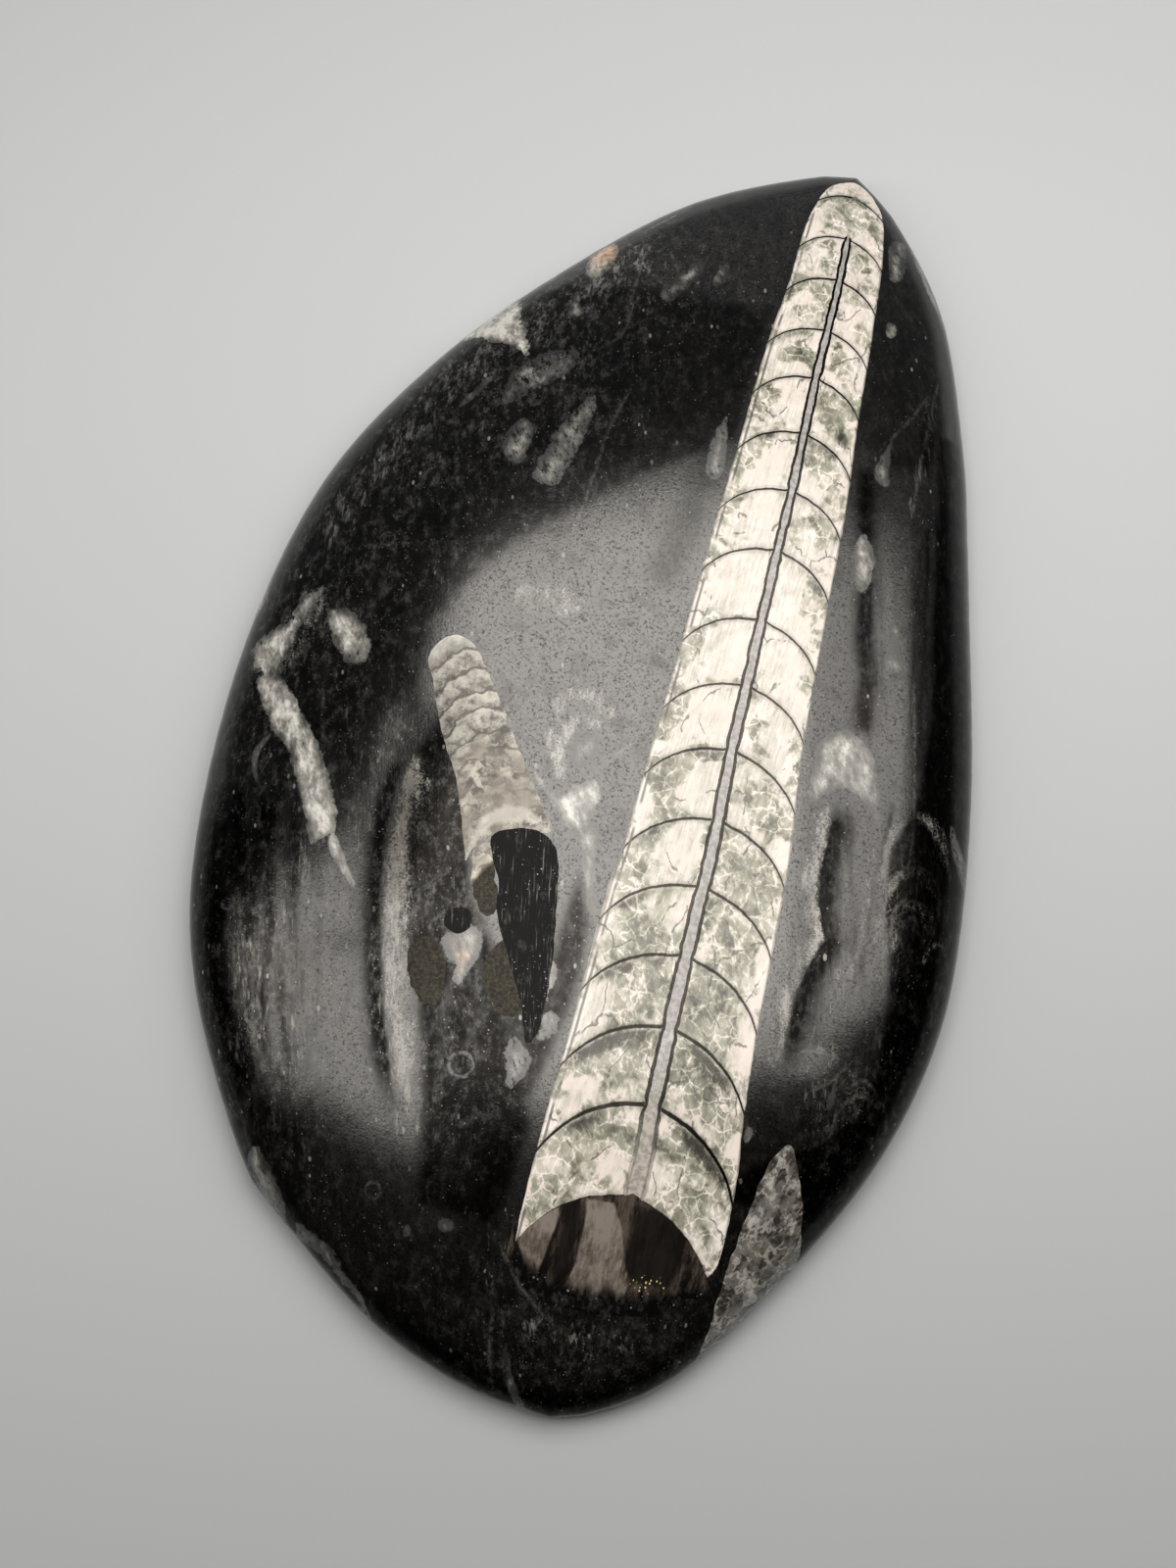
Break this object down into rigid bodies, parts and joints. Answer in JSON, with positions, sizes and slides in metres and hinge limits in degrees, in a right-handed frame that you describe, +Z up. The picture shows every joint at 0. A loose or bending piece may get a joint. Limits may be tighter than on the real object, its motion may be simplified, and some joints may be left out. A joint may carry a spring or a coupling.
{
  "type": "orthoceras fossil",
  "caption": "Leaf-shaped slab of black fossil limestone, domed and polished on top and flat behind, with a white chambered straight shell along it.",
  "frame": {"origin": "centre of the slab's bounding box in plan, on the flat sawn back", "axes": "+Y along the slab's long axis towards its sharper point, +X across it, +Z up out of the polished top"},
  "size_m": [0.1038, 0.1804, 0.017],
  "materials": {
    "fossil_limestone": "black fossil limestone, satin polished over the top, with cream-white calcite shells; sawn and matt at the back"
  },
  "bodies": {
    "root": {"orthoceras_slab": "fossil_limestone"}
  },
  "joints": []
}
